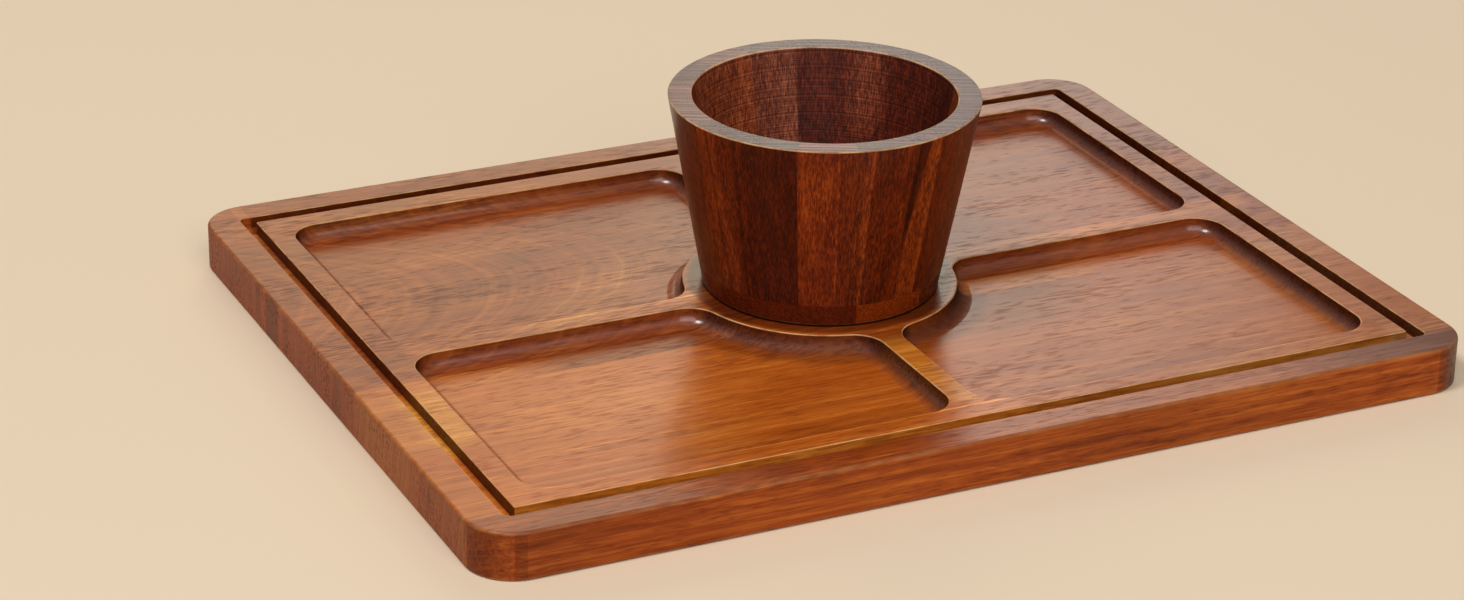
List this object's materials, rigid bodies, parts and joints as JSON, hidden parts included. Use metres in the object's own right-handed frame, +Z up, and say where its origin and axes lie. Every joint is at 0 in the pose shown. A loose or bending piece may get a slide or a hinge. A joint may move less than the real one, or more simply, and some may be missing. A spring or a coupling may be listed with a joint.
{
  "type": "chip and dip server",
  "caption": "Rectangular hardwood serving board with a juice groove and shallow compartments around a central platform, with a separate coopered wooden dip bowl standing on it.",
  "frame": {"origin": "middle of the board's underside, on the table", "axes": "+X along the board's long side, -Y to the front edge nearest the viewer, +Z up"},
  "size_m": [0.4, 0.306, 0.0947],
  "materials": {
    "board_edge_heartwood": "satin oiled acacia, dark heartwood",
    "board_straight_grain": "satin oiled acacia, straight grain",
    "board_swirl_grain": "satin oiled acacia, flat-sawn swirl",
    "bowl_base": "satin oiled acacia, dark",
    "bowl_staves": "satin oiled acacia, dark red brown, end grain at the rim"
  },
  "bodies": {
    "board": {"front_edge_plank": "board_edge_heartwood", "front_plank": "board_straight_grain", "back_plank": "board_swirl_grain"},
    "bowl": {"base_strip_1": "bowl_base", "base_strip_2": "bowl_base", "base_strip_3": "bowl_base", "base_strip_4": "bowl_base", "stave_01": "bowl_staves", "stave_02": "bowl_staves", "stave_03": "bowl_staves", "stave_04": "bowl_staves", "stave_05": "bowl_staves", "stave_06": "bowl_staves", "stave_07": "bowl_staves", "stave_08": "bowl_staves", "stave_09": "bowl_staves", "stave_10": "bowl_staves", "stave_11": "bowl_staves", "stave_12": "bowl_staves", "stave_13": "bowl_staves", "stave_14": "bowl_staves", "stave_15": "bowl_staves", "stave_16": "bowl_staves"}
  },
  "joints": [
    {"name": "bowl_lift", "type": "slide", "parent": "board", "child": "bowl", "axis": [0, 0, 1], "range_m": [0, 0.12]}
  ]
}
